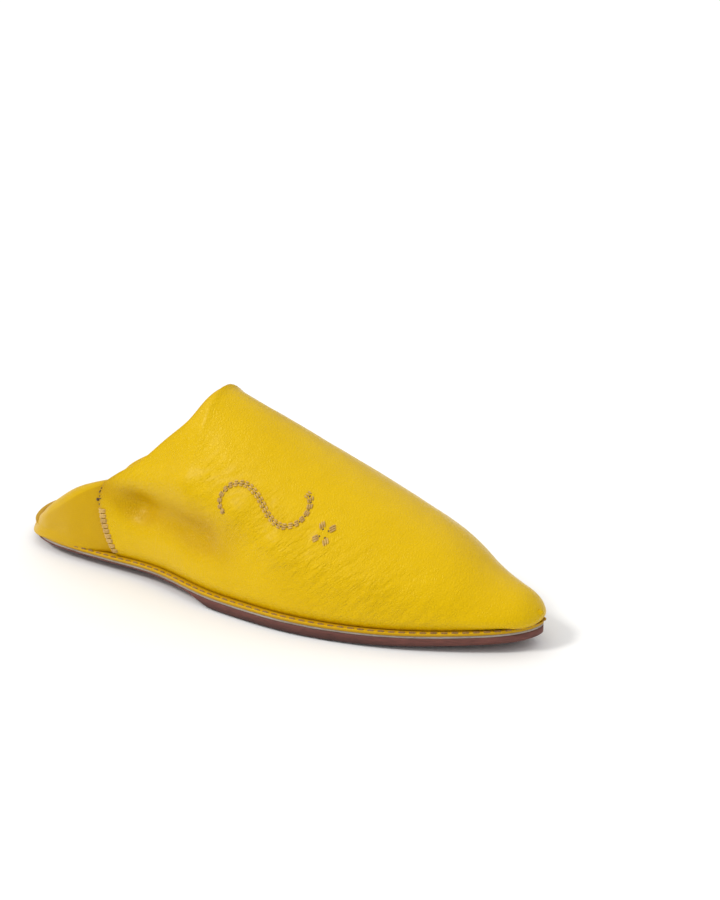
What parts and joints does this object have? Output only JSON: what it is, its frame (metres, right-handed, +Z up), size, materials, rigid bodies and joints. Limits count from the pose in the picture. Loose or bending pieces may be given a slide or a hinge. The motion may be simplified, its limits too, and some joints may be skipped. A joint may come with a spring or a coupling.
{
  "type": "babouche slipper",
  "caption": "Pointed leather slipper with a high hollow vamp, an open back whose quarter is folded down over the insole, a narrow welt and a flat leather sole.",
  "frame": {"origin": "on the floor, in the middle of the flat spot under the heel seat", "axes": "+Y from the heel to the toe, +X to the wearer's right, which is the outer side, +Z up"},
  "size_m": [0.0917, 0.2711, 0.0907],
  "materials": {
    "yellow_leather": "grained, soft gloss",
    "sole_leather": "matt, burnished edge",
    "pale_board": "matt",
    "sewing_thread": "waxed, soft sheen"
  },
  "bodies": {
    "root": {"outsole": "sole_leather", "midsole": "pale_board", "welt": "yellow_leather", "insole": "yellow_leather", "upper": "yellow_leather", "back_quarter": "yellow_leather"}
  },
  "joints": []
}
